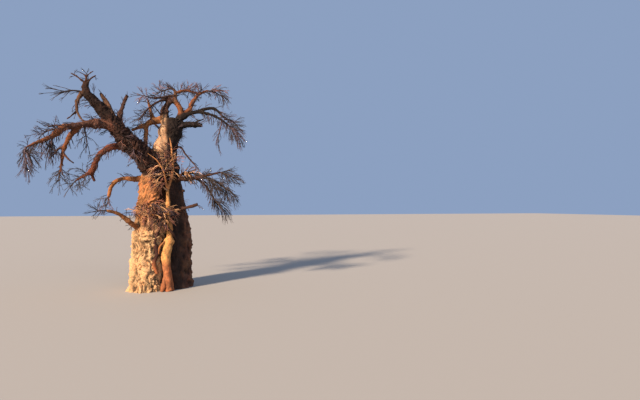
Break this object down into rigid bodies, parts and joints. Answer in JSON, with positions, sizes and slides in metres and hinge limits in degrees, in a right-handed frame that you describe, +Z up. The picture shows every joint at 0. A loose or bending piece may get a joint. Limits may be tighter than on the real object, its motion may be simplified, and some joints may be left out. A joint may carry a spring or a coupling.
{
  "type": "bare baobab tree",
  "caption": "Whole leafless baobab tree: a massive fused trunk with a root flare, thick forked boughs and drooping sprays of bare twigs.",
  "frame": {"origin": "on the flat cut at ground level, under the middle of the trunk", "axes": "+Z up along the trunk; +X to the right in the view that shows the whole crown; +Y away from that viewer"},
  "size_m": [7.8255, 7.0811, 8.8744],
  "materials": {
    "bark": "rough weathered bark, folded and cracked",
    "pale_bark": "smoother tan bark",
    "twigs": "matte dry twigs"
  },
  "bodies": {
    "root": {"back_bough": "bark", "back_left_bough": "bark", "back_low_bough": "bark", "back_right_bough": "bark", "broken_stub": "bark", "cross_bough": "bark", "crown_top_limb": "bark", "front_stem": "pale_bark", "front_stem_fork": "pale_bark", "leader_left": "bark", "leader_right": "bark", "left_bough": "bark", "left_drop_limb": "bark", "left_hanging_limb": "bark", "left_lower_bough": "bark", "left_outer_bough": "bark", "low_left_bough": "bark", "prop_limb": "bark", "right_arm_lower": "bark", "right_arm_upper": "bark", "right_drooping_limb": "bark", "right_lower_bough": "bark", "right_stub": "bark", "ring_left": "bark", "ring_right": "bark", "tip_knob": "bark", "trunk": "bark", "trunk_left_bough": "bark", "trunk_right_stub": "bark", "twigs_back": "twigs", "twigs_back_left": "twigs", "twigs_back_low": "twigs", "twigs_back_right": "twigs", "twigs_front_high": "twigs", "twigs_front_low": "twigs", "twigs_leader": "twigs", "twigs_left_end": "twigs", "twigs_left_hanging": "twigs", "twigs_left_lower": "twigs", "twigs_left_mid": "twigs", "twigs_left_tip": "twigs", "twigs_left_under": "twigs", "twigs_left_upper": "twigs", "twigs_low_left": "twigs", "twigs_right_hanging": "twigs", "twigs_right_high": "twigs", "twigs_right_low": "twigs", "twigs_right_mid": "twigs", "twigs_right_tip": "twigs", "twigs_sweep": "twigs", "twigs_top_left": "twigs", "twigs_top_mid": "twigs", "twigs_top_right": "twigs", "twigs_trunk_left": "twigs", "twigs_upper_left": "twigs", "twigs_upper_right": "twigs", "upper_left_limb": "bark", "upper_mid_limb": "bark", "upper_right_limb": "bark", "upright_stub": "bark"}
  },
  "joints": []
}
